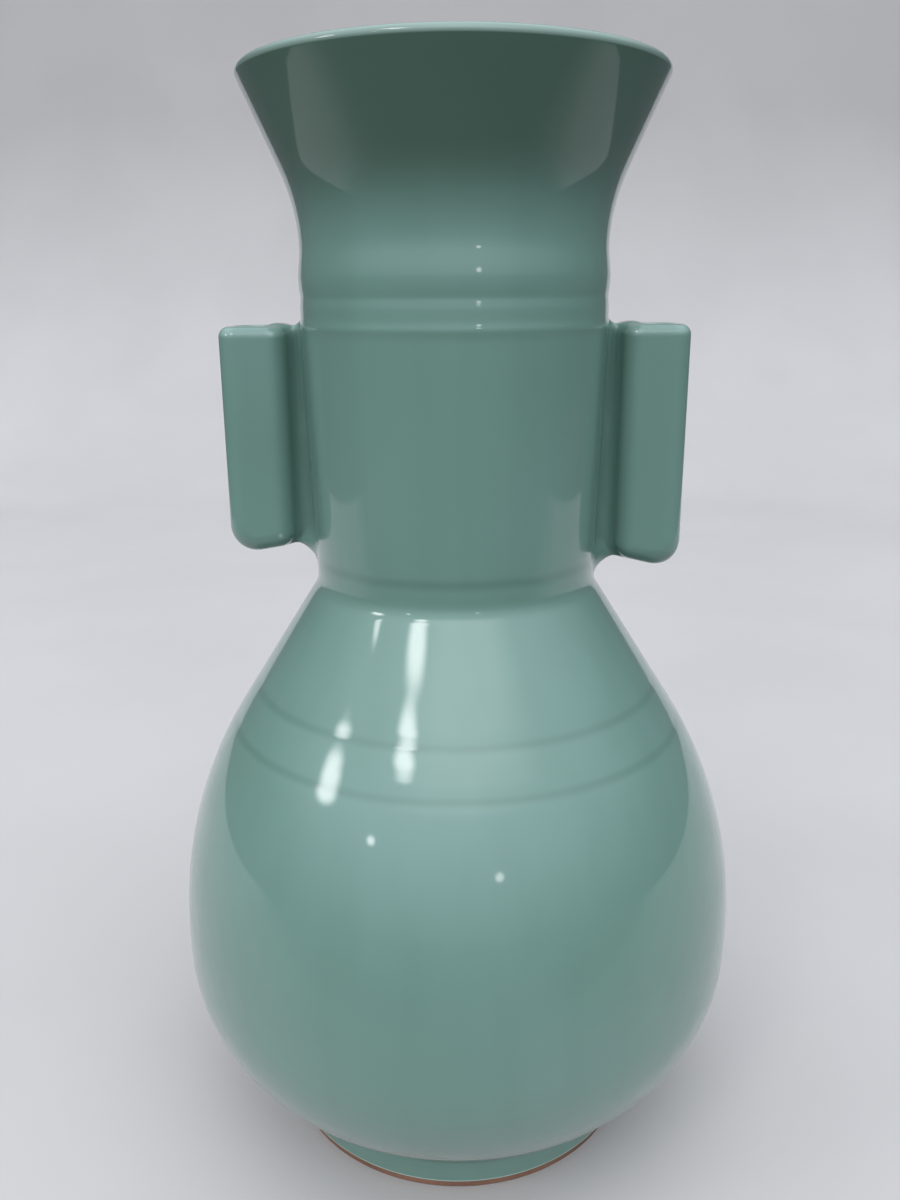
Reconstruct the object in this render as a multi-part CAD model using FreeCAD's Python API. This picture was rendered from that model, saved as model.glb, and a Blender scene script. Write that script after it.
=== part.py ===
"""Celadon vase with two pierced tubular ears: thrown sections luted together and glazed. Millimetres, +Z up.

The origin is the middle of the foot, on the surface that the vase stands on. +X points to the right ear.
Every wall is drawn once, as the outline of the glazed surface. An inset of GLAZE into the wall gives the
fired clay under it, so the clay sections and the glaze always meet face to face.
"""
import FreeCAD, Part
import math
import os

from FreeCAD import Vector

# Whole vase
HEIGHT = 300.0
GLAZE = 0.6
WALL = 5.6  # glazed surface to glazed surface, in the body

# Foot
FOOT_R = 54.3
FOOT_BATTER = 0.4
FOOT_HEIGHT = 10.4
FOOT_BORE_R = 46.0
FOOT_EDGE = 0.8
BARE_RIM = 2.5
BASE_Z = 7.6

# Body: a tight lower arc and a long upper arc, then a straight shoulder
BELLY_R = 82.7
LOWER_ARC_R = 49.5
LOWER_ARC_Z = 59.0
UPPER_ARC_R = 120.0
UPPER_ARC_Z = 65.0
FLOOR_Z = 15.0
FLOOR_CORNER_R = 10.0
SHOULDER_ANGLE = 32.5
INCISED_Z = (127.9, 138.9)
INCISED_R = 0.5
INCISED_BITE = 0.35

# Neck
NECK_FOOT_R = 39.4
NECK_TOP_R = 41.3
NECK_FILLET = 8.0
NECK_BORE_R = 34.8
COLLAR_Z = 237.8
MOUTH_Z = 245.2

# Mouth
ROLL_R = 41.5
ROLL_Z = 250.5
WAIST_R = 40.8
WAIST_Z = 257.0
FLARE_ARC_R = 46.0
FLARE_ANGLE = 24.2
LIP_R = 1.6

# Ears: square tubes with rounded corners. Their lower ends slant up towards the neck, from a round heel on
# the outer side to a toe on the inner side
EAR_SIDE = {"left_ear": -1, "right_ear": 1}
EAR_X = 54.0
EAR_HALF = 9.2
EAR_CORNER_R = 4.8
EAR_HEEL_R = 8.0
EAR_TOE_R = 6.0
EAR_BORE_R = 5.0
EAR_TOP_Z = 238.0
EAR_BOTTOM_Z = {"left_ear": 176.8, "right_ear": 172.4}
EAR_SLANT = {"left_ear": 10.0, "right_ear": 14.0}
EAR_TOP_EDGE = 2.8
EAR_BORE_EDGE = 0.8
WEB_HALF_WIDTH = 3.2
WEB_SHORT = 1.6

# Luted joints: the lower section ends in a tongue on the inner half of the wall
TONGUE = 2.0
BODY_JOINT = (62.0, 79.8)
NECK_JOINT = (170.6, 37.1)
MOUTH_JOINT = (MOUTH_Z, 38.2)

SLOPE = math.radians(SHOULDER_ANGLE)
FLARE = math.radians(FLARE_ANGLE)
LOWER_CENTRE = (BELLY_R - LOWER_ARC_R, LOWER_ARC_Z)
UPPER_CENTRE = (BELLY_R - UPPER_ARC_R, UPPER_ARC_Z)
FLARE_CENTRE = (WAIST_R + FLARE_ARC_R, WAIST_Z)


def polar(centre, radius, angle):
    return Vector(centre[0] + radius * math.cos(angle), 0, centre[1] + radius * math.sin(angle))


def fillet_centre(neck_r, radius):
    """Centre of the hollow curve of this radius between the shoulder and a neck surface of radius neck_r."""
    x = neck_r + radius
    reach = UPPER_ARC_R + NECK_FILLET
    z = UPPER_CENTRE[1] + (reach - (x - UPPER_CENTRE[0]) * math.cos(SLOPE)) / math.sin(SLOPE)
    return (x, z)


def lip_centre():
    """Centre of the lip's round, where the straight flare runs into it."""
    start = polar(FLARE_CENTRE, FLARE_ARC_R, math.pi - FLARE)
    z = HEIGHT - LIP_R
    rise = z - LIP_R * math.sin(FLARE) - start.z
    return (start.x + rise * math.tan(FLARE) - LIP_R * math.cos(FLARE), z)


def inner_flare_angle(arc_r, lip):
    """Angle at which the inside flare leaves its arc to run straight into the lip's round."""
    across = FLARE_CENTRE[0] - lip[0]
    up = lip[1] - FLARE_CENTRE[1]
    return math.atan2(up, across) - math.acos((arc_r - LIP_R) / math.hypot(up, across))


def trace(steps, inset):
    """Edges along a surface. A step is a point, or (centre, radius, from, to, side) for an arc. Its side is
    +1 where an inset into the wall makes the radius smaller, and -1 where it makes it larger."""
    edges = []
    end = None
    for step in steps:
        if isinstance(step, Vector):
            start = mid = stop = step
        else:
            centre, radius, first, last, side = step
            radius -= side * inset
            start, mid, stop = (polar(centre, radius, a) for a in (first, (first + last) / 2, last))
        if end and (start - end).Length > 1e-7:
            edges.append(Part.LineSegment(end, start).toShape())
        if (stop - start).Length > 1e-7:
            edges.append(Part.Arc(start, mid, stop).toShape())
        end = stop
    return edges


def outer_surface(inset):
    """From the foot's junction with the body, up the outside, to the lip's crown."""
    lower_start = polar(LOWER_CENTRE, LOWER_ARC_R, -math.pi / 4)
    body_start = lower_start.x - (lower_start.z - FOOT_HEIGHT) - inset * math.sqrt(2)
    return trace([
        Vector(body_start, 0, FOOT_HEIGHT),
        (LOWER_CENTRE, LOWER_ARC_R, -math.pi / 4, 0, 1),
        (UPPER_CENTRE, UPPER_ARC_R, 0, SLOPE, 1),
        (fillet_centre(NECK_FOOT_R, NECK_FILLET), NECK_FILLET, math.pi + SLOPE, math.pi, -1),
        Vector(NECK_TOP_R - inset, 0, COLLAR_Z),
        Vector(NECK_TOP_R - inset, 0, MOUTH_Z),
        Vector(ROLL_R - inset, 0, ROLL_Z),
        (FLARE_CENTRE, FLARE_ARC_R, math.pi, math.pi - FLARE, -1),
        (lip_centre(), LIP_R, -FLARE, math.pi / 2, 1),
    ], inset)


def inner_surface(inset):
    """From the middle of the floor, up the inside, to the lip's crown."""
    lower_r = LOWER_ARC_R - WALL
    lower_start = polar(LOWER_CENTRE, lower_r, -math.pi / 4)
    corner_z = FLOOR_Z + FLOOR_CORNER_R
    corner_start_z = corner_z - FLOOR_CORNER_R * math.sin(math.pi / 4)
    corner_start_x = lower_start.x - (lower_start.z - corner_start_z)
    corner = (corner_start_x - FLOOR_CORNER_R * math.cos(math.pi / 4), corner_z)
    flare_r = FLARE_CENTRE[0] - NECK_BORE_R
    lip = lip_centre()
    angle = inner_flare_angle(flare_r, lip)
    neck_r = NECK_FILLET + WALL
    return trace([
        Vector(0, 0, FLOOR_Z - inset),
        (corner, FLOOR_CORNER_R, -math.pi / 2, -math.pi / 4, -1),
        (LOWER_CENTRE, lower_r, -math.pi / 4, 0, -1),
        (UPPER_CENTRE, UPPER_ARC_R - WALL, 0, SLOPE, -1),
        (fillet_centre(NECK_BORE_R, neck_r), neck_r, math.pi + SLOPE, math.pi, 1),
        (FLARE_CENTRE, flare_r, math.pi, math.pi - angle, 1),
        (lip, LIP_R, math.pi - angle, math.pi / 2, 1),
    ], inset)


def turned(edges):
    """Solid of revolution, about the vase's axis, of the face inside these edges."""
    face = Part.Face(Part.Wire(Part.__sortEdges__(edges)))
    return face.revolve(Vector(0, 0, 0), Vector(0, 0, 1), 360)


def lines(*points):
    corners = [Vector(x, 0, z) for x, z in points]
    return [Part.LineSegment(a, b).toShape() for a, b in zip(corners, corners[1:])]


def first_point(edges):
    return edges[0].valueAt(edges[0].FirstParameter)


def last_point(edges):
    return edges[-1].valueAt(edges[-1].LastParameter)


def foot_outer(z, inset=0.0):
    """Radius of the foot's battered wall at height z."""
    return FOOT_R - FOOT_BATTER * (1 - z / FOOT_HEIGHT) - inset


def clay_wall():
    """The whole fired clay wall above the foot, with a spigot under its floor that centres the foot ring."""
    outer = outer_surface(GLAZE)
    inner = inner_surface(GLAZE)
    start = first_point(outer)
    underside = lines((0, FLOOR_Z - GLAZE), (0, BASE_Z), (FOOT_BORE_R, BASE_Z),
                      (FOOT_BORE_R, FOOT_HEIGHT), (start.x, start.z))
    return turned(outer + inner + underside)


def clay_core():
    """The clay's outer shape, filled to the axis, which the ears and the glaze are fitted to."""
    outer = outer_surface(GLAZE)
    crown = last_point(outer)
    start = first_point(outer)
    return turned(outer + lines((crown.x, crown.z), (0, crown.z), (0, start.z), (start.x, start.z)))


def below(joint):
    """Everything under a luted joint, with its tongue."""
    z, tongue_r = joint
    floor = Vector(0, 0, -TONGUE)
    whole = Part.makeCylinder(2 * BELLY_R, z + TONGUE, floor)
    return whole.fuse(Part.makeCylinder(tongue_r, z + 2 * TONGUE, floor))


def incised_rings():
    """The shallow scratched lines round the shoulder, as rings to cut away."""
    rings = []
    foot = polar(UPPER_CENTRE, UPPER_ARC_R - GLAZE, SLOPE)
    for z in INCISED_Z:
        if z > foot.z:
            surface_r = foot.x - (z - foot.z) * math.tan(SLOPE)
        else:
            arc_r = UPPER_ARC_R - GLAZE
            surface_r = UPPER_CENTRE[0] + math.sqrt(arc_r ** 2 - (z - UPPER_CENTRE[1]) ** 2)
        rings.append(Part.makeTorus(surface_r + INCISED_R - INCISED_BITE, INCISED_R, Vector(0, 0, z)))
    return rings


def body_sections():
    wall = clay_wall()
    under_body, under_neck, under_mouth = (below(joint) for joint in (BODY_JOINT, NECK_JOINT, MOUTH_JOINT))
    upper_body = wall.cut(under_body).common(under_neck)
    for ring in incised_rings():
        upper_body = upper_body.cut(ring)
    return {
        "lower_body": wall.common(under_body),
        "upper_body": upper_body,
        "neck": wall.cut(under_neck).common(under_mouth),
        "mouth": wall.cut(under_mouth),
    }


def foot_ring():
    top = foot_outer(FOOT_HEIGHT, GLAZE)
    bottom = foot_outer(0, GLAZE)
    return turned(lines((FOOT_BORE_R, FOOT_EDGE), (FOOT_BORE_R + FOOT_EDGE, 0), (bottom - FOOT_EDGE, 0),
                        (bottom, FOOT_EDGE), (top, FOOT_HEIGHT), (FOOT_BORE_R, FOOT_HEIGHT),
                        (FOOT_BORE_R, FOOT_EDGE)))


def beside(name, solid):
    """The solid moved from the vase's axis to the axis of this ear."""
    solid.translate(Vector(EAR_SIDE[name] * EAR_X, 0, 0))
    return solid


def ear_outline(name, inset):
    """Edges of the ear's front view about its own axis, with its outer side at +X."""
    bottom = EAR_BOTTOM_Z[name]
    slant = math.radians(EAR_SLANT[name])
    down = -math.pi / 2 - slant
    half = EAR_HALF - inset
    toe_x = EAR_TOE_R - EAR_HALF
    heel_x = EAR_HALF - EAR_HEEL_R
    toe = (toe_x, bottom - toe_x * math.tan(slant) + EAR_TOE_R / math.cos(slant))
    heel = (heel_x, bottom - heel_x * math.tan(slant) + EAR_HEEL_R / math.cos(slant))
    top = EAR_TOP_Z - inset
    return trace([
        Vector(-half, 0, top),
        (toe, EAR_TOE_R, -math.pi, down, 1),
        (heel, EAR_HEEL_R, down, 0, 1),
        Vector(half, 0, top),
        Vector(-half, 0, top),
    ], inset)


def ear_tube(name, inset):
    """The pierced ear with its rounded edges and the web behind it, before it is fitted to the neck."""
    top = EAR_TOP_Z - inset
    half = EAR_HALF - inset
    tube = Part.Face(Part.Wire(ear_outline(name, inset))).extrude(Vector(0, 2 * half, 0))
    tube.translate(Vector(0, -half, 0))
    below_top = [edge for edge in tube.Edges if edge.BoundBox.ZMin < top - EAR_TOP_EDGE]
    front_and_back = [edge for edge in below_top if edge.BoundBox.YLength < half]
    tube = tube.makeFillet(EAR_CORNER_R - inset, front_and_back)
    rim = [edge for edge in tube.Edges if edge.BoundBox.ZMin > top - EAR_TOP_EDGE]
    tube = tube.makeFillet(EAR_TOP_EDGE - inset, rim)
    web_half = WEB_HALF_WIDTH - inset
    web_bottom = EAR_BOTTOM_Z[name] + WEB_SHORT + inset
    web_length = EAR_X - NECK_BORE_R
    web = Part.makeBox(web_length, 2 * web_half, top - web_bottom,
                       Vector(-web_length, -web_half, web_bottom))
    ear = tube.fuse(web)
    if EAR_SIDE[name] < 0:
        ear = ear.mirror(Vector(0, 0, 0), Vector(1, 0, 0))
    return beside(name, ear).cut(ear_bore(name, inset))


def ear_bore(name, inset):
    """The hole down an ear, with an eased upper end."""
    radius = EAR_BORE_R + inset
    edge = EAR_BORE_EDGE
    low = EAR_BOTTOM_Z[name] - EAR_HALF
    high = EAR_TOP_Z - inset
    return beside(name, turned(lines((0, low), (radius, low), (radius, high - edge), (radius + edge, high),
                                     (0, high), (0, low))))


def outer_glaze(core, ears):
    """The glaze over the outside, from just above the bare rim to the lip's crown, and over both ears."""
    skin = outer_surface(0)
    crown = last_point(skin)
    start = first_point(skin)
    low = foot_outer(BARE_RIM)
    foot_top = foot_outer(FOOT_HEIGHT)
    clay = [foot_outer(BARE_RIM, GLAZE), foot_outer(FOOT_HEIGHT, GLAZE)]
    envelope = turned(skin + lines((crown.x, crown.z), (0, crown.z), (0, FOOT_HEIGHT),
                                   (clay[1], FOOT_HEIGHT), (clay[0], BARE_RIM), (low, BARE_RIM),
                                   (foot_top, FOOT_HEIGHT), (start.x, start.z)))
    for name in ears:
        envelope = envelope.fuse(ear_tube(name, 0))
    lid = Part.makeCylinder(crown.x, 2 * GLAZE, Vector(0, 0, HEIGHT - GLAZE))
    glaze = envelope.cut(core).cut(lid)
    for name, ear in ears.items():
        glaze = glaze.cut(ear).cut(ear_bore(name, 0))
    return glaze


def inner_glaze():
    crown = last_point(inner_surface(0))
    return turned(inner_surface(0) + inner_surface(GLAZE)
                  + lines((crown.x, crown.z), (crown.x, crown.z - GLAZE))
                  + lines((0, FLOOR_Z), (0, FLOOR_Z - GLAZE)))


def base_glaze():
    """The glazed recess inside the foot ring."""
    return Part.makeCylinder(FOOT_BORE_R, GLAZE, Vector(0, 0, BASE_Z - GLAZE))


def main():
    core = clay_core()
    ears = {name: ear_tube(name, GLAZE).cut(core) for name in EAR_SIDE}
    parts = {"foot_ring": foot_ring(), **body_sections(), **ears}
    parts["outer_glaze"] = outer_glaze(core, ears)
    parts["inner_glaze"] = inner_glaze()
    parts["base_glaze"] = base_glaze()
    os.makedirs("parts", exist_ok=True)
    for name, shape in parts.items():
        shape.exportStep(f"parts/{name}.step")
        print(name, shape.isValid(), len(shape.Solids), round(shape.Volume), shape.BoundBox)


main()
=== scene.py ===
"""Celadon vase with two pierced tubular ears: the glaze as one smooth skin, the bare foot and the base.

Shapes are worked out in millimetres about the vase's axis, and turned into metres when a mesh is made.
"""
import math

import bmesh
import bpy
import numpy as np
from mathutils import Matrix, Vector


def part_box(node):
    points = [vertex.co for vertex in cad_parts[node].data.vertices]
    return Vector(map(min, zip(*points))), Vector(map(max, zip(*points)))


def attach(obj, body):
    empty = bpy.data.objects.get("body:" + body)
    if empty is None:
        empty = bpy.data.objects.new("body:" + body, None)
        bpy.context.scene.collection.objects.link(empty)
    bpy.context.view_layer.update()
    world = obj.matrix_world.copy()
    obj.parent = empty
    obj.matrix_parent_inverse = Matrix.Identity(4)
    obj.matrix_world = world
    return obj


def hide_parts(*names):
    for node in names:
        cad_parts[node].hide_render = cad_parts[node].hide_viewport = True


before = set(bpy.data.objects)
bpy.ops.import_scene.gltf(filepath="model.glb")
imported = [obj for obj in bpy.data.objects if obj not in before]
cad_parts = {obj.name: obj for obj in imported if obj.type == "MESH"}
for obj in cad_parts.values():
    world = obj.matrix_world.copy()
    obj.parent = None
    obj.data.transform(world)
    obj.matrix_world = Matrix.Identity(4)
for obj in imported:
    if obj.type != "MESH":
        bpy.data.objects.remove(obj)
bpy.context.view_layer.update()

MM = 0.001


def low(node):
    return np.array(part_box(node)[0]) / MM


def high(node):
    return np.array(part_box(node)[1]) / MM


# Sizes that the frame gives
HEIGHT = high("outer_glaze")[2]
BELLY_R = high("outer_glaze")[0]
GLAZE = BELLY_R - high("upper_body")[0]
FOOT_R = high("foot_ring")[0] + GLAZE
FOOT_HEIGHT = high("foot_ring")[2]
BARE_RIM = low("outer_glaze")[2]
BASE_Z = high("base_glaze")[2]
FOOT_BORE_R = high("base_glaze")[0]
EAR_TOP = high("left_ear")[2] + GLAZE
EAR_HALF = high("right_ear")[1] + GLAZE
EAR_X = high("right_ear")[0] + GLAZE - EAR_HALF

# Body, the same arcs as the frame's
WALL = 5.6
LOWER_ARC_R = 49.5
LOWER_ARC_Z = 59.0
UPPER_ARC_R = 120.0
UPPER_ARC_Z = 65.0
FLOOR_Z = 15.0
FLOOR_CORNER_R = 10.0
SLOPE = math.radians(32.5)
FOOT_BATTER = 0.4
FOOT_EDGE = 0.8

# Neck and mouth
NECK_FOOT_R = 39.4
NECK_TOP_R = 41.3
NECK_FILLET = 8.0
NECK_BORE_R = 34.8
COLLAR_Z = 237.8
MOUTH_Z = 245.2
ROLL_R = 41.5
ROLL_Z = 250.5
WAIST_R = 40.8
WAIST_Z = 257.0
FLARE_ARC_R = 46.0
FLARE = math.radians(24.2)
LIP_R = 1.6
MOUTH_SHADE_Z = 280.0

# Ears: square tubes with rounded corners. Their lower ends slant up towards the neck, from a round heel on
# the outer side to a toe on the inner side. -1 stands for the left ear and 1 for the right one
EAR_BOTTOM = {-1: 176.8, 1: 172.4}
EAR_SLANT = {-1: math.radians(10), 1: math.radians(14)}
EAR_CORNER_R = 4.8
EAR_HEEL_R = 9.0
EAR_TOE_R = 4.4
EAR_BORE_R = 5.0
EAR_TOP_EDGE = 2.9
EAR_BORE_EDGE = 1.0
WEB_HALF_WIDTH = 3.2
WEB_SHORT = 1.6
WEB_EDGE = 1.0
GROOVE_FILLET = 2.5
UNDER_FILLET = 7.0
UNDER_REACH = 8.0

# Lines round the vase: height, depth (below zero for a ridge), half width. Glaze pools in the scratched ones,
# and painted shade darkens them too
SCRATCHED = [
    (127.9, 0.08, 1.0),
    (138.9, 0.08, 1.0),
    (175.0, 0.10, 1.4),
]
RINGS = SCRATCHED + [
    (COLLAR_Z, -0.2, 1.3),
    (MOUTH_Z, 0.22, 1.5),
]

LOWER_CENTRE = (BELLY_R - LOWER_ARC_R, LOWER_ARC_Z)
UPPER_CENTRE = (BELLY_R - UPPER_ARC_R, UPPER_ARC_Z)
FLARE_CENTRE = (WAIST_R + FLARE_ARC_R, WAIST_Z)

# How finely surfaces are drawn
TRACE_STEP = 0.1
SOFTEN = 0.6
ROW_LENGTH = 2.6
ROW_TURN = math.radians(5)
EAR_ARC = math.radians(16)
FINE_ANGLE = math.radians(0.66)
COARSE_ANGLE = math.radians(2.2)
ANGLE_SAMPLES = 4001
NET_LOW = 160.0
NET_HIGH = 243.6
NET_STEP = 0.62
NET_INSIDE = 6
NET_OUTSIDE = 3
NET_MARGIN = 10


# Outlines -----------------------------------------------------------------------------------------

def polar(centre, radius, angle):
    return (centre[0] + radius * math.cos(angle), centre[1] + radius * math.sin(angle))


def fillet_centre(neck_r, radius):
    """Centre of the hollow curve of this radius between the shoulder and a neck surface of radius neck_r."""
    x = neck_r + radius
    reach = UPPER_ARC_R + NECK_FILLET
    z = UPPER_CENTRE[1] + (reach - (x - UPPER_CENTRE[0]) * math.cos(SLOPE)) / math.sin(SLOPE)
    return (x, z)


def lip_centre():
    """Centre of the lip's round, where the straight flare runs into it."""
    x, z = polar(FLARE_CENTRE, FLARE_ARC_R, math.pi - FLARE)
    top = HEIGHT - LIP_R
    rise = top - LIP_R * math.sin(FLARE) - z
    return (x + rise * math.tan(FLARE) - LIP_R * math.cos(FLARE), top)


def inner_flare_angle(arc_r, lip):
    """Angle at which the inside flare leaves its arc to run straight into the lip's round."""
    across = FLARE_CENTRE[0] - lip[0]
    up = lip[1] - FLARE_CENTRE[1]
    return math.atan2(up, across) - math.acos((arc_r - LIP_R) / math.hypot(up, across))


def trace(*steps):
    """Evenly spaced points along an outline. A step is a point, or (centre, radius, from, to) for an arc."""
    corners = []
    for step in steps:
        if len(step) == 2:
            corners.append(step)
        else:
            centre, radius, first, last = step
            count = max(2, round(abs(last - first) * radius / TRACE_STEP))
            corners += [polar(centre, radius, a) for a in np.linspace(first, last, count)]
    corners = np.array(corners)
    along = np.concatenate([[0], np.cumsum(np.hypot(*np.diff(corners, axis=0).T))])
    places = np.linspace(0, along[-1], round(along[-1] / TRACE_STEP))
    return np.stack([np.interp(places, along, corners[:, i]) for i in (0, 1)], 1)


def soften(points, spread):
    """The outline with its corners rounded, its ends kept."""
    reach = round(4 * spread / TRACE_STEP)
    weights = np.exp(-0.5 * (np.arange(-reach, reach + 1) * TRACE_STEP / spread) ** 2)
    before = 2 * points[0] - points[reach:0:-1]
    after = 2 * points[-1] - points[-2:-reach - 2:-1]
    padded = np.concatenate([before, points, after])
    return np.stack([np.convolve(padded[:, i], weights / weights.sum(), "valid") for i in (0, 1)], 1)


def outline_normals(points):
    """Unit normals of an outline drawn upwards, which point away from the axis."""
    along = np.gradient(points, axis=0)
    along /= np.linalg.norm(along, axis=1, keepdims=True)
    return np.stack([along[:, 1], -along[:, 0]], 1)


def outer_outline():
    """From the glaze's edge above the bare rim, up the outside, to the lip's crown."""
    lower_start = polar(LOWER_CENTRE, LOWER_ARC_R, -math.pi / 4)
    body_start = lower_start[0] - (lower_start[1] - FOOT_HEIGHT)
    rim_r = FOOT_R - FOOT_BATTER * (1 - BARE_RIM / FOOT_HEIGHT)
    points = trace(
        (rim_r - GLAZE, BARE_RIM),
        ((rim_r - GLAZE, BARE_RIM + GLAZE), GLAZE, -math.pi / 2, 0),
        (FOOT_R, FOOT_HEIGHT),
        (body_start, FOOT_HEIGHT),
        (LOWER_CENTRE, LOWER_ARC_R, -math.pi / 4, 0),
        (UPPER_CENTRE, UPPER_ARC_R, 0, SLOPE),
        (fillet_centre(NECK_FOOT_R, NECK_FILLET), NECK_FILLET, math.pi + SLOPE, math.pi),
        (NECK_TOP_R, COLLAR_Z),
        (NECK_TOP_R, MOUTH_Z),
        (ROLL_R, ROLL_Z),
        (FLARE_CENTRE, FLARE_ARC_R, math.pi, math.pi - FLARE),
        (lip_centre(), LIP_R, -FLARE, math.pi / 2),
    )
    soft = soften(points, SOFTEN)
    keep = np.clip((points[:, 1] - (HEIGHT - 4 * LIP_R)) / LIP_R, 0, 1)[:, None]
    keep = np.maximum(keep, np.clip(2 - (points[:, 1] - BARE_RIM) / GLAZE, 0, 1)[:, None])
    points = points * keep + soft * (1 - keep)
    relief = sum(depth * np.exp(-((points[:, 1] - z) / width) ** 2) for z, depth, width in RINGS)
    return points - relief[:, None] * outline_normals(points)


def inner_outline():
    """From the lip's crown, down the inside, to the middle of the floor."""
    lower_r = LOWER_ARC_R - WALL
    lower_start = polar(LOWER_CENTRE, lower_r, -math.pi / 4)
    corner_z = FLOOR_Z + FLOOR_CORNER_R
    corner_start_z = corner_z - FLOOR_CORNER_R * math.sin(math.pi / 4)
    corner_start_x = lower_start[0] - (lower_start[1] - corner_start_z)
    corner = (corner_start_x - FLOOR_CORNER_R * math.cos(math.pi / 4), corner_z)
    flare_r = FLARE_CENTRE[0] - NECK_BORE_R
    lip = lip_centre()
    angle = inner_flare_angle(flare_r, lip)
    neck_r = NECK_FILLET + WALL
    return trace(
        (lip, LIP_R, math.pi / 2, math.pi - angle),
        (FLARE_CENTRE, flare_r, math.pi - angle, math.pi),
        (fillet_centre(NECK_BORE_R, neck_r), neck_r, math.pi, math.pi + SLOPE),
        (UPPER_CENTRE, UPPER_ARC_R - WALL, SLOPE, 0),
        (LOWER_CENTRE, lower_r, 0, -math.pi / 4),
        (corner, FLOOR_CORNER_R, -math.pi / 4, -math.pi / 2),
        (0, FLOOR_Z),
    )


def rows(points):
    """The few points of an outline that its length and its curves need."""
    along = np.diff(points, axis=0)
    length = np.hypot(*along.T)
    heading = np.unwrap(np.arctan2(along[:, 1], along[:, 0]))
    turn = np.abs(np.gradient(heading))
    cost = np.concatenate([[0], np.cumsum(np.maximum(length / ROW_LENGTH, turn / ROW_TURN))])
    wanted = np.linspace(0, cost[-1], math.ceil(cost[-1]) + 1)
    return np.stack([np.interp(wanted, cost, points[:, i]) for i in (0, 1)], 1)


# Distances, for the neck and the ears that grow out of it -----------------------------------------

def rounded_union(a, b, radius):
    """Distance to two shapes joined with a hollow curve of this radius between them."""
    inside = np.maximum(radius, np.minimum(a, b))
    return inside - np.hypot(np.maximum(radius - a, 0), np.maximum(radius - b, 0))


def rounded_overlap(a, b, radius):
    """Distance to what two shapes share, with its edge rounded to this radius."""
    return -rounded_union(-a, -b, radius)


def rounded_box(distances, radius):
    """Distance to a box, from the distances to its faces, with this radius on its edges."""
    faces = [d + radius for d in distances]
    outside = np.sqrt(sum(np.maximum(d, 0) ** 2 for d in faces))
    return outside + np.minimum(np.maximum.reduce(faces), 0) - radius


def ear_distance(points, side):
    across = side * points[..., 0] - EAR_X
    forward = points[..., 1]
    up = points[..., 2]
    bottom = EAR_BOTTOM[side]
    slant = EAR_SLANT[side]
    below = (bottom - up) * math.cos(slant) - across * math.sin(slant)
    front_view = rounded_overlap(across - EAR_HALF, below, EAR_HEEL_R)
    front_view = rounded_overlap(front_view, -across - EAR_HALF, EAR_TOE_R)
    tube = rounded_overlap(front_view, np.abs(forward) - EAR_HALF, EAR_CORNER_R)
    tube = rounded_overlap(tube, up - EAR_TOP, EAR_TOP_EDGE)
    web_from, web_to = NECK_BORE_R - EAR_X, -EAR_BORE_R / 2
    web = rounded_box([
        np.abs(forward) - WEB_HALF_WIDTH,
        np.maximum(web_from - across, across - web_to),
        np.maximum(bottom + WEB_SHORT - up, up - EAR_TOP),
    ], WEB_EDGE)
    return rounded_union(tube, web, GROOVE_FILLET)


def neck_distance(points, outline):
    """Distance to the turned body near the neck, where its outline has one radius at each height."""
    heights = outline[:, 1]
    radius = np.interp(points[..., 2], heights, outline[:, 0])
    lean = np.interp(points[..., 2], heights, np.gradient(outline[:, 0]) / np.gradient(heights))
    return (np.hypot(points[..., 0], points[..., 1]) - radius) / np.sqrt(1 + lean ** 2)


def make_distance(outline):
    near = outline[(outline[:, 1] > NET_LOW - NET_MARGIN) & (outline[:, 1] < NET_HIGH + NET_MARGIN)]

    def distance(points):
        bottom = np.where(points[..., 0] < 0, EAR_BOTTOM[-1], EAR_BOTTOM[1])
        under = np.clip((bottom + UNDER_REACH - points[..., 2]) / UNDER_REACH, 0, 1)
        fillet = GROOVE_FILLET + (UNDER_FILLET - GROOVE_FILLET) * under ** 2 * (3 - 2 * under)
        ears = np.minimum(ear_distance(points, -1), ear_distance(points, 1))
        joined = rounded_union(neck_distance(points, near), ears, fillet)
        bores = [EAR_BORE_R - np.hypot(side * points[..., 0] - EAR_X, points[..., 1]) for side in (-1, 1)]
        return rounded_overlap(joined, np.maximum(*bores), EAR_BORE_EDGE)

    return distance


def slope_of(distance, points, step=0.01):
    axes = np.eye(3) * step
    return np.stack([distance(points + a) - distance(points - a) for a in axes], -1) / (2 * step)


def settle(distance, points, rounds=6):
    """Points moved onto the surface."""
    for _ in range(rounds):
        slope = slope_of(distance, points)
        away = np.maximum((slope ** 2).sum(-1, keepdims=True), 0.05)
        points = points - distance(points)[:, None] * slope / away
    return points


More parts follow.
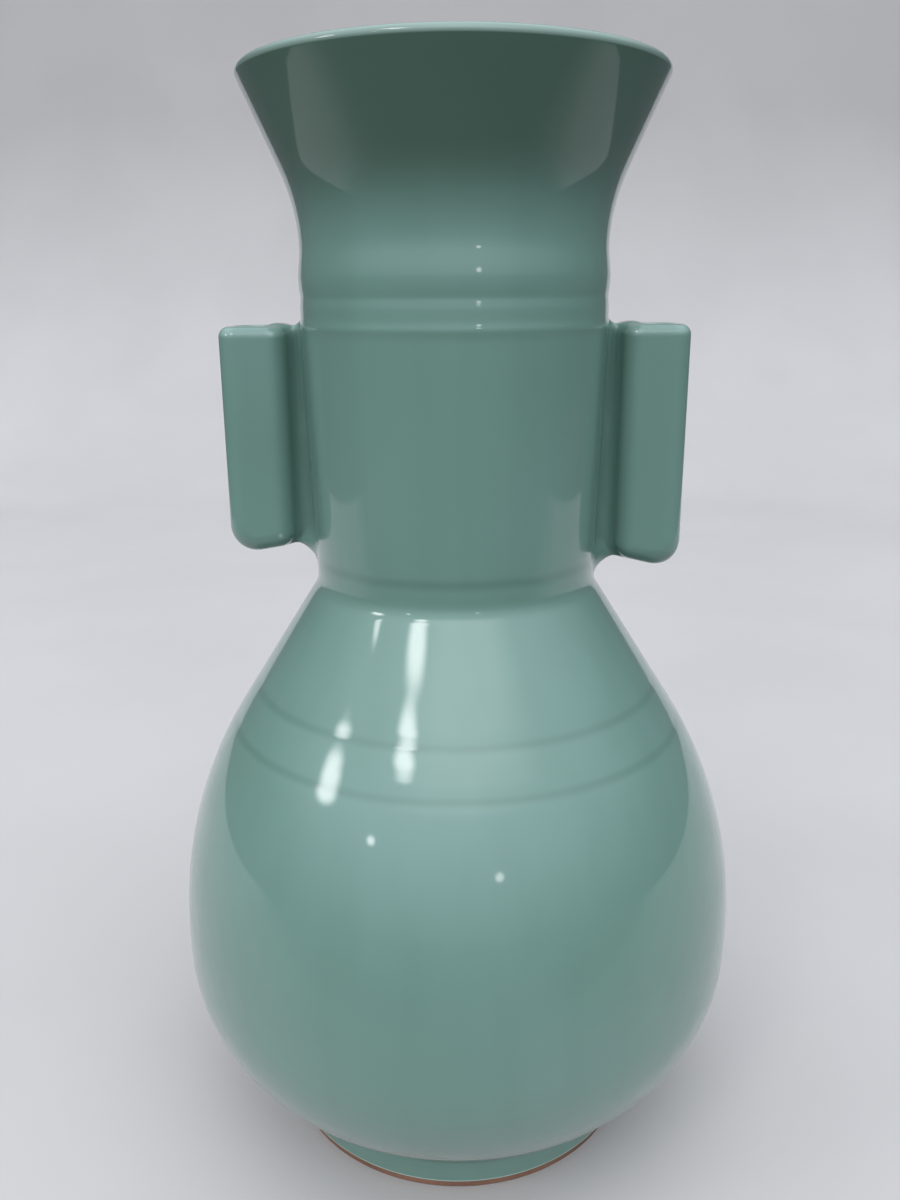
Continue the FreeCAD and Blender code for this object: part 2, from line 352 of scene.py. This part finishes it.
def surface_net(corners, values):
    """Quads between the inside (below zero) and the outside of values on a grid of corners, which joins up
    along its second axis. Returns points, quads and the grid cell of each point."""
    cells = np.zeros(values.shape + (3,))
    crossings = np.zeros(values.shape)
    starts = [(a, b, c) for a in (0, 1) for b in (0, 1) for c in (0, 1)]
    for start in starts:
        for axis in range(3):
            if start[axis]:
                continue
            end = tuple(s + (i == axis) for i, s in enumerate(start))
            value_a, value_b = (np.roll(values, [-s for s in at], (0, 1, 2)) for at in (start, end))
            corner_a, corner_b = (np.roll(corners, [-s for s in at], (0, 1, 2)) for at in (start, end))
            crossed = (value_a < 0) != (value_b < 0)
            part = np.where(crossed, value_a / np.where(crossed, value_a - value_b, 1), 0)[..., None]
            cells += np.where(crossed[..., None], corner_a + part * (corner_b - corner_a), 0)
            crossings += crossed
    crossings[-1] = 0
    crossings[:, :, -1] = 0
    used = crossings > 0
    index = np.full(values.shape, -1)
    index[used] = np.arange(used.sum())
    quads = []
    for axis in range(3):
        u, v = (axis + 1) % 3, (axis + 2) % 3
        after = np.roll(values, -1, axis)
        around = [np.roll(index, (1, 1), (u, v)), np.roll(index, 1, v), index, np.roll(index, 1, u)]
        quad = np.stack(around, -1)
        whole = (quad >= 0).all(-1)
        quads.append(quad[whole & (values < 0) & (after >= 0)])
        quads.append(quad[whole & (values >= 0) & (after < 0)][:, ::-1])
    return cells[used] / crossings[used][:, None], np.concatenate(quads), np.argwhere(used)


def net_angles():
    """Grid angles round the vase, close together at the ears and gradually further apart between them."""
    turn = np.linspace(0, math.pi, ANGLE_SAMPLES)
    from_ear = np.minimum(turn, math.pi - turn)
    ease = np.clip((from_ear - EAR_ARC) / EAR_ARC, 0, 1)
    step = FINE_ANGLE + (COARSE_ANGLE - FINE_ANGLE) * ease ** 2 * (3 - 2 * ease)
    passed = np.concatenate([[0], np.cumsum(np.diff(turn) / step[1:])])
    half = np.interp(np.linspace(0, passed[-1], round(passed[-1]), endpoint=False), passed, turn)
    return np.concatenate([half, half + math.pi])


def net_heights():
    """Grid heights, close together at the ends of the ears and at the rings."""
    bottom = min(EAR_BOTTOM.values())
    stops = [NET_LOW, bottom - 4, max(EAR_BOTTOM.values()) + 6, EAR_TOP - 5, NET_HIGH]
    steps = [1.0, NET_STEP, 2.4, NET_STEP]
    parts = []
    for start, stop, step in zip(stops, stops[1:], steps):
        parts.append(np.linspace(start, stop, math.ceil((stop - start) / step), endpoint=False))
    return np.concatenate(parts + [[NET_HIGH]])


def revolved(outline, angles):
    """Points and quads of an outline turned about the axis. The quads of one drawn upwards face outwards."""
    points = np.stack([
        np.outer(outline[:, 0], np.cos(angles)),
        np.outer(outline[:, 0], np.sin(angles)),
        np.repeat(outline[:, 1:], len(angles), 1),
    ], -1)
    row, column = np.meshgrid(np.arange(len(outline) - 1), np.arange(len(angles)), indexing="ij")
    after = (column + 1) % len(angles)
    count = len(angles)
    quads = np.stack([row * count + column, row * count + after, (row + 1) * count + after,
                      (row + 1) * count + column], -1)
    return points.reshape(-1, 3), quads.reshape(-1, 4)


def outer_skin():
    """The glazed outside: a turned body and mouth, and between them the neck with its two ears."""
    outline = outer_outline()
    angles = net_angles()
    heights = net_heights()
    radii = np.arange(NECK_FOOT_R - NET_INSIDE, EAR_X + EAR_HALF + NET_OUTSIDE, NET_STEP)
    radius, angle, height = np.meshgrid(radii, angles, heights, indexing="ij")
    corners = np.stack([radius * np.cos(angle), radius * np.sin(angle), height], -1)
    distance = make_distance(outline)
    points, quads, cells = surface_net(corners, distance(corners))
    points = settle(distance, points)
    after = np.append(angles[1:], angles[0] + 2 * math.pi)
    middles = (angles + after) / 2
    levels = (heights[1:] + heights[:-1]) / 2
    below = outline[outline[:, 1] < levels[0]]
    above = outline[outline[:, 1] > levels[-1]]
    ends = [np.interp(z, outline[:, 1], outline[:, 0]) for z in (levels[0], levels[-1])]
    for level, z, end_r in ((0, levels[0], ends[0]), (len(levels) - 1, levels[-1], ends[1])):
        at_end = cells[:, 2] == level
        turn = middles[cells[at_end, 1]]
        points[at_end] = np.stack([end_r * np.cos(turn), end_r * np.sin(turn), np.full(at_end.sum(), z)], 1)
    below = rows(np.concatenate([below, [(ends[0], levels[0])]]))
    above = rows(np.concatenate([[(ends[1], levels[-1])], above]))
    parts = [(points, quads), revolved(below, middles), revolved(above, middles)]
    counts = np.cumsum([0] + [len(p) for p, _ in parts])
    return np.concatenate([p for p, _ in parts]), np.concatenate([q + c for (_, q), c in zip(parts, counts)])


# Meshes -------------------------------------------------------------------------------------------

WELD = 0.002


def joined_mesh(name, points, quads):
    """A mesh in metres, its coinciding points made one."""
    mesh = bpy.data.meshes.new(name)
    mesh.from_pydata((points * MM).tolist(), [], quads.tolist())
    made = bmesh.new()
    made.from_mesh(mesh)
    bmesh.ops.remove_doubles(made, verts=made.verts, dist=WELD * MM)
    bmesh.ops.dissolve_degenerate(made, edges=made.edges, dist=WELD * MM / 10)
    made.to_mesh(mesh)
    made.free()
    return mesh


def mesh_points(mesh):
    points = np.empty(len(mesh.vertices) * 3)
    mesh.vertices.foreach_get("co", points)
    return points.reshape(-1, 3)


def mesh_normals(mesh):
    normals = np.empty(len(mesh.vertices) * 3)
    mesh.vertex_normals.foreach_get("vector", normals)
    return normals.reshape(-1, 3)


def mesh_edges(mesh):
    edges = np.empty(len(mesh.edges) * 2, int)
    mesh.edges.foreach_get("vertices", edges)
    return edges.reshape(-1, 2)


def hollowness(mesh, rounds=3):
    """How hollow (above zero) or rounded (below zero) the surface is at each point, per millimetre."""
    points = mesh_points(mesh) / MM
    normals = mesh_normals(mesh)
    a, b = mesh_edges(mesh).T
    between = points[b] - points[a]
    length_2 = (between ** 2).sum(1) + 1e-9
    total = np.zeros(len(points))
    weight = np.zeros(len(points))
    for start, way in ((a, between), (b, -between)):
        np.add.at(total, start, 2 * (normals[start] * way).sum(1) / length_2)
        np.add.at(weight, start, 1)
    value = total / np.maximum(weight, 1)
    for _ in range(rounds):
        total = value.copy()
        np.add.at(total, a, value[b])
        np.add.at(total, b, value[a])
        value = total / (weight + 1)
    return value


def new_piece(name, mesh, material, slot, *nodes):
    piece = bpy.data.objects.new(name, mesh)
    bpy.context.scene.collection.objects.link(piece)
    mesh.materials.append(material)
    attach(piece, "root")
    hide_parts(*nodes)
    return piece


def glaze_shell(name, points, quads, material, *nodes):
    """A closed layer of glaze: the skin that shows, and its back against the clay. Its thickness runs out at
    the foot, where the glaze was wiped away."""
    skin = joined_mesh(name + "_skin", points, quads)
    front = mesh_points(skin)
    normals = mesh_normals(skin)
    hollow = hollowness(skin)
    count = len(front)
    edge_use = {}
    faces = [tuple(f.vertices) for f in skin.polygons]
    for face in faces:
        for a, b in zip(face, face[1:] + face[:1]):
            edge_use[(a, b)] = edge_use.get((a, b), 0) + 1
    rim = [(a, b) for a, b in edge_use if (b, a) not in edge_use]
    thickness = np.clip((front[:, 2] / MM - BARE_RIM) / (2 * GLAZE), 0.1, 1) * GLAZE * MM
    back = front - thickness[:, None] * normals
    closed = faces + [tuple(v + count for v in reversed(f)) for f in faces]
    closed += [(b, a, a + count, b + count) for a, b in rim]
    mesh = bpy.data.meshes.new(name)
    mesh.from_pydata(np.concatenate([front, back]).tolist(), [], closed)
    # A mask darker in hollows, where glaze pools and painted shade is laid, and one paler on rounded edges,
    # where glaze runs thinner and a painted highlight is laid
    for label, value in (("pooled_and_shaded", hollow), ("thinned_and_lit", -hollow)):
        layer = mesh.attributes.new(label, "FLOAT", "POINT")
        layer.data.foreach_set("value", np.clip(np.tile(value, 2), 0, 1).astype(np.float32))
    mesh.shade_smooth()
    mesh.normals_split_custom_set_from_vertices(np.concatenate([normals, -normals]).tolist())
    bpy.data.meshes.remove(skin)
    return new_piece(name, mesh, material, "celadon_glaze", *nodes)


# Materials ----------------------------------------------------------------------------------------

class Nodes:
    """Short ways to add and join shader nodes."""

    def __init__(self, name):
        self.material = bpy.data.materials.new(name)
        self.material.use_nodes = True
        self.tree = self.material.node_tree
        self.tree.nodes.clear()
        self.place = self.add("ShaderNodeTexCoord").outputs["Object"]

    def add(self, kind, inputs=(), **settings):
        node = self.tree.nodes.new(kind)
        for key, value in settings.items():
            setattr(node, key, value)
        for key, value in dict(inputs).items():
            if isinstance(value, bpy.types.NodeSocket):
                self.tree.links.new(value, node.inputs[key])
            else:
                node.inputs[key].default_value = value
        return node

    def maths(self, operation, a, b=0.0):
        return self.add("ShaderNodeMath", {0: a, 1: b}, operation=operation).outputs[0]

    def noise(self, scale, detail=3.0, roughness=0.5, stretch=(1, 1, 1)):
        place = self.add("ShaderNodeMapping", {"Vector": self.place, "Scale": stretch}).outputs[0]
        return self.add("ShaderNodeTexNoise", {"Vector": place, "Scale": scale, "Detail": detail,
                                               "Roughness": roughness}).outputs[0]

    def between(self, value, start, end, low=0.0, high=1.0):
        """The value from start to end turned smoothly into low to high."""
        inputs = {"Value": value, "From Min": start, "From Max": end, "To Min": low, "To Max": high}
        return self.add("ShaderNodeMapRange", inputs, interpolation_type="SMOOTHSTEP").outputs[0]

    def mix(self, part, a, b):
        node = self.add("ShaderNodeMix", data_type="RGBA")
        for key, value in ((0, part), (6, a), (7, b)):
            if isinstance(value, bpy.types.NodeSocket):
                self.tree.links.new(value, node.inputs[key])
            else:
                node.inputs[key].default_value = (*value, 1.0) if isinstance(value, tuple) else value
        return node.outputs[2]

    def shader(self, inputs):
        surface = self.add("ShaderNodeBsdfPrincipled", inputs)
        output = self.add("ShaderNodeOutputMaterial")
        self.tree.links.new(surface.outputs[0], output.inputs["Surface"])
        return self.material


def srgb(red, green, blue):
    """A linear colour from one in 0 to 255 as a screen shows it."""
    parts = [c / 255 for c in (red, green, blue)]
    return tuple(c / 12.92 if c <= 0.04045 else ((c + 0.055) / 1.055) ** 2.4 for c in parts)


def celadon():
    """Thick blue-green glaze: glossy, darker in hollows where it pools, with painted shade there too, painted
    shade on the mouth's flare, and paler on rounded edges, partly where the glaze runs thinner and partly a
    painted highlight.
    """
    n = Nodes("celadon_glaze")
    # Dark green of glaze that pools, used also as painted shade in hollows and along the scratched rings
    pool = srgb(52, 84, 70)
    flare_shade = srgb(56, 80, 64)
    # Pale green of glaze running thinner, used also as a painted highlight on rounded edges
    thin_glaze_and_highlight = srgb(186, 206, 196)
    iron = srgb(60, 84, 70)
    clouds = n.noise(18, 1, 0.4)
    runs = n.noise(110, 2, 0.4, (1, 1, 0.05))
    colour = n.mix(n.between(clouds, 0.3, 0.7), srgb(100, 130, 118), srgb(105, 134, 124))
    colour = n.mix(n.between(runs, 0.3, 0.8, 0, 0.22), colour, srgb(92, 121, 109))
    up = n.add("ShaderNodeSeparateXYZ", {"Vector": n.place}).outputs["Z"]
    # Painted shade on the mouth's flare, darker upwards from its waist
    colour = n.mix(n.between(up, WAIST_Z * MM, MOUTH_SHADE_Z * MM, 0, 0.75), colour, flare_shade)
    # Painted shade along the scratched rings, with glaze that pools in them
    for z, _, width in SCRATCHED:
        away = n.maths("ABSOLUTE", n.maths("SUBTRACT", up, z * MM))
        colour = n.mix(n.between(away, 1.7 * width * MM, 0, 0, 0.24), colour, pool)
    pooled_and_shaded = n.add("ShaderNodeAttribute", attribute_name="pooled_and_shaded").outputs["Fac"]
    thinned_and_lit = n.add("ShaderNodeAttribute", attribute_name="thinned_and_lit").outputs["Fac"]
    # Darker in hollows: glaze that pools there, and painted shade
    colour = n.mix(n.between(pooled_and_shaded, 0.04, 0.5, 0, 0.8), colour, pool)
    # Paler on rounded edges: glaze that runs thinner there, and a painted highlight
    colour = n.mix(n.between(thinned_and_lit, 0.15, 0.6, 0, 0.75), colour, thin_glaze_and_highlight)
    cells = n.add("ShaderNodeTexVoronoi", {"Vector": n.place, "Scale": 220.0}).outputs
    chosen = n.between(n.add("ShaderNodeSeparateColor", {"Color": cells["Color"]}).outputs[0], 0.985, 0.99)
    speck = n.maths("MULTIPLY", n.between(cells["Distance"], 0.06, 0.03), chosen)
    colour = n.mix(n.maths("MULTIPLY", speck, 0.35), colour, iron)
    ripple = n.noise(38, 1, 0.4)
    peel = n.noise(900, 1, 0.4)
    height = n.maths("ADD", ripple, n.maths("MULTIPLY", peel, 0.03))
    bump = n.add("ShaderNodeBump", {"Height": height, "Strength": 0.05, "Distance": 0.004}).outputs[0]
    rough = n.between(n.noise(90, 2), 0.3, 0.7, 0.3, 0.38)
    return n.shader({
        "Base Color": colour, "Roughness": rough, "IOR": 1.5, "Specular IOR Level": 0.15, "Normal": bump,
        "Coat Weight": 1.0, "Coat Roughness": 0.05, "Coat IOR": 1.5,
    })


def bare_clay(name, light, dark, grain_scale):
    """Unglazed fired clay: matte, finely grained, with small iron specks and turning marks."""
    n = Nodes(name)
    cloud = n.noise(30, 4)
    grain = n.noise(grain_scale, 4, 0.6)
    turning = n.noise(500, 2, 0.5, (0.05, 0.05, 1))
    colour = n.mix(n.between(cloud, 0.3, 0.7), light, dark)
    colour = n.mix(n.between(grain, 0.62, 0.72, 0, 0.5), colour, tuple(0.4 * c for c in dark))
    height = n.maths("ADD", grain, turning)
    bump = n.add("ShaderNodeBump", {"Height": height, "Strength": 0.25, "Distance": 0.0005}).outputs[0]
    rough = n.between(grain, 0.3, 0.7, 0.6, 0.85)
    return n.shader({"Base Color": colour, "Roughness": rough, "Normal": bump})


def studio_paper():
    """Pale paper with painted shade that darkens it towards its front edge, so that little light comes up
    from there.
    """
    n = Nodes("studio_paper")
    forward = n.add("ShaderNodeSeparateXYZ", {"Vector": n.place}).outputs["Y"]
    tone = n.mix(n.between(n.noise(6, 3), 0.3, 0.7), srgb(184, 177, 174), srgb(180, 173, 170))
    # Painted shade: the paper turns dark grey towards the front
    tone = n.mix(n.between(forward, -0.06, -0.3), tone, srgb(76, 73, 72))
    return n.shader({"Base Color": tone, "Roughness": 0.8})


# The vase -----------------------------------------------------------------------------------------

def even_angles(count):
    return np.linspace(0, 2 * math.pi, count, endpoint=False)


def make_foot(material):
    """The turned foot ring, with its bare rim, an eased edge and a wall that leans in a little."""
    top = FOOT_R - GLAZE
    bottom = top - FOOT_BATTER
    outline = trace(
        (FOOT_BORE_R, FOOT_HEIGHT),
        ((FOOT_BORE_R + FOOT_EDGE, FOOT_EDGE), FOOT_EDGE, math.pi, 1.5 * math.pi),
        ((bottom - FOOT_EDGE, FOOT_EDGE), FOOT_EDGE, -math.pi / 2, 0),
        (top, FOOT_HEIGHT),
        (FOOT_BORE_R, FOOT_HEIGHT),
    )
    mesh = joined_mesh("bare_foot_ring", *revolved(rows(outline), even_angles(240)))
    mesh.shade_smooth()
    mesh.set_sharp_from_angle(angle=math.radians(40))
    return new_piece("bare_foot_ring", mesh, material, "bare_foot", "foot_ring")


def make_base(material):
    """The glazed recess under the vase: a pool that sags in the middle and climbs the ring's wall."""
    meniscus = 2.2
    sag = 0.4
    low_z = BASE_Z - GLAZE
    spread = trace(
        (0, low_z - sag),
        (FOOT_BORE_R * 0.6, low_z - sag * 0.5),
        (FOOT_BORE_R - meniscus, low_z),
        ((FOOT_BORE_R - meniscus, low_z - meniscus), meniscus, math.pi / 2, 0.1),
        (FOOT_BORE_R, low_z - meniscus),
        (FOOT_BORE_R, BASE_Z),
        (0, BASE_Z),
    )
    mesh = joined_mesh("glazed_base", *revolved(rows(spread), even_angles(200)))
    mesh.shade_smooth()
    mesh.set_sharp_from_angle(angle=math.radians(50))
    return new_piece("glazed_base", mesh, material, "celadon_glaze", "base_glaze")


glaze = celadon()
biscuit = bare_clay("biscuit", srgb(214, 208, 198), srgb(200, 192, 180), 900)
iron_foot = bare_clay("bare_foot", srgb(132, 94, 74), srgb(102, 70, 54), 900)

glaze_shell("outer_celadon", *outer_skin(), glaze, "outer_glaze")
glaze_shell("inner_celadon", *revolved(rows(inner_outline()), even_angles(160)), glaze, "inner_glaze")
make_foot(iron_foot)
make_base(glaze)
for name in ("lower_body", "upper_body", "neck", "mouth", "left_ear", "right_ear"):
    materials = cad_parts[name].data.materials
    materials.clear()
    materials.append(biscuit)


# Studio -------------------------------------------------------------------------------------------

# The camera stands close in front of the vase, level with the foot of its mouth, and looks down at it
CAMERA_PLACE = (0.0, -0.294, 0.2476)
CAMERA_PITCH = 16.58
CAMERA_YAW = 0.22
CAMERA_ROLL = 0.35
CAMERA_LENS = 31.5
SENSOR = 36.0
CLIP_NEAR = 0.01

# The lamps stand at this distance from the vase's middle. The room glows from ROOM_LOW at eye level and below
# up to ROOM_HIGH, where a direction's height and FRONT_GLOW of its way to the front come to ROOM_TOP
VASE_MIDDLE = (0, 0, 0.15)
LAMP_DISTANCE = 1.6
ROOM_LOW = 0.12
ROOM_HIGH = 2.35
ROOM_TOP = 1.1
FRONT_GLOW = 0.34
ROOM_COLOUR = (0.82, 0.92, 1.02)


def make_camera():
    data = bpy.data.cameras.new("camera")
    data.lens = CAMERA_LENS
    data.sensor_width = SENSOR
    data.clip_start = CLIP_NEAR
    camera = bpy.data.objects.new("camera", data)
    camera.location = CAMERA_PLACE
    turns = (90 - CAMERA_PITCH, CAMERA_ROLL, CAMERA_YAW)
    camera.rotation_euler = [math.radians(turn) for turn in turns]
    bpy.context.scene.collection.objects.link(camera)
    bpy.context.scene.camera = camera


def make_light(name, place, target, size, power, colour=(1.0, 1.0, 1.0)):
    """An area light whose glow fades out towards its edges, so that its reflection has none."""
    data = bpy.data.lights.new(name, "AREA")
    data.shape = "RECTANGLE"
    data.size, data.size_y = size
    data.energy = power
    data.color = colour
    data.use_nodes = True
    nodes = data.node_tree.nodes
    links = data.node_tree.links
    middle = (0.5, 0.5, 0)
    edge = 0.5
    core = 0.15
    spot = nodes.new("ShaderNodeNewGeometry")
    from_middle = nodes.new("ShaderNodeVectorMath")
    from_middle.operation = "DISTANCE"
    from_middle.inputs[1].default_value = middle
    glow = nodes.new("ShaderNodeMapRange")
    glow.interpolation_type = "SMOOTHSTEP"
    glow.inputs["From Min"].default_value = edge
    glow.inputs["From Max"].default_value = core
    links.new(spot.outputs["Parametric"], from_middle.inputs[0])
    links.new(from_middle.outputs["Value"], glow.inputs["Value"])
    links.new(glow.outputs[0], nodes["Emission"].inputs["Strength"])
    light = bpy.data.objects.new(name, data)
    light.location = place
    light.rotation_euler = (Vector(target) - Vector(place)).to_track_quat("-Z", "Y").to_euler()
    light.visible_camera = False
    bpy.context.scene.collection.objects.link(light)


def make_lamp(name, turn, rise, size, power):
    """A lamp across the room, by its direction from the vase: degrees to the right of the front, and up."""
    turn = math.radians(turn)
    rise = math.radians(rise)
    away = Vector((math.sin(turn) * math.cos(rise), -math.cos(turn) * math.cos(rise), math.sin(rise)))
    make_light(name, Vector(VASE_MIDDLE) + away * LAMP_DISTANCE, VASE_MIDDLE, size, power)


def make_stage():
    """A pale floor that curves up into a backdrop."""
    width = 0.85
    front = -1.6
    depth = 1.4
    height = 2.2
    bend = 0.5
    outline = [(front, 0.0)]
    for a in np.linspace(0, math.pi / 2, 24):
        outline.append((depth - bend + bend * math.sin(a), bend - bend * math.cos(a)))
    outline.append((depth, height))
    points = [(x, y, z) for y, z in outline for x in (-width, width)]
    faces = [(2 * i, 2 * i + 1, 2 * i + 3, 2 * i + 2) for i in range(len(outline) - 1)]
    mesh = bpy.data.meshes.new("studio_floor")
    mesh.from_pydata(points, [], faces)
    mesh.shade_smooth()
    mesh.materials.append(studio_paper())
    floor = bpy.data.objects.new("studio_floor", mesh)
    bpy.context.scene.collection.objects.link(floor)


def make_world():
    """A room with a bright cool ceiling, brighter in front than behind, and dim at eye level and below."""
    world = bpy.data.worlds.new("studio")
    world.use_nodes = True
    nodes = world.node_tree.nodes
    links = world.node_tree.links
    direction = nodes.new("ShaderNodeTexCoord")
    height = nodes.new("ShaderNodeVectorMath")
    height.operation = "DOT_PRODUCT"
    height.inputs[1].default_value = (0, -FRONT_GLOW, 1)
    glow = nodes.new("ShaderNodeMapRange")
    glow.interpolation_type = "SMOOTHSTEP"
    glow.inputs["From Max"].default_value = ROOM_TOP
    glow.inputs["To Min"].default_value = ROOM_LOW
    glow.inputs["To Max"].default_value = ROOM_HIGH
    links.new(direction.outputs["Generated"], height.inputs[0])
    links.new(height.outputs["Value"], glow.inputs["Value"])
    links.new(glow.outputs[0], nodes["Background"].inputs["Strength"])
    nodes["Background"].inputs["Color"].default_value = (*ROOM_COLOUR, 1.0)
    bpy.context.scene.world = world


make_camera()
make_stage()
make_world()
make_light("overhead", (0.0, -0.5, 1.25), VASE_MIDDLE, (0.9, 0.9), 2, (0.9, 0.96, 1.0))
make_lamp("soft_panel", 8, 43, (2.2, 0.8), 8.0)
make_lamp("lamp_a_near", -32.5, 43.0, (0.46, 0.24), 4.2)
make_lamp("lamp_a_middle", -29.7, 37.0, (0.38, 0.2), 3.0)
make_lamp("lamp_a_far", -37.5, 19.0, (0.14, 0.1), 0.5)
make_lamp("lamp_b_near", -69.0, 36.0, (0.25, 0.08), 0.6)
make_lamp("lamp_b_far", -66.0, 25.0, (0.4, 0.32), 5.0)
make_lamp("lamp_c", 17.0, 12.5, (0.14, 0.1), 0.35)
bpy.context.scene.view_settings.view_transform = "Standard"
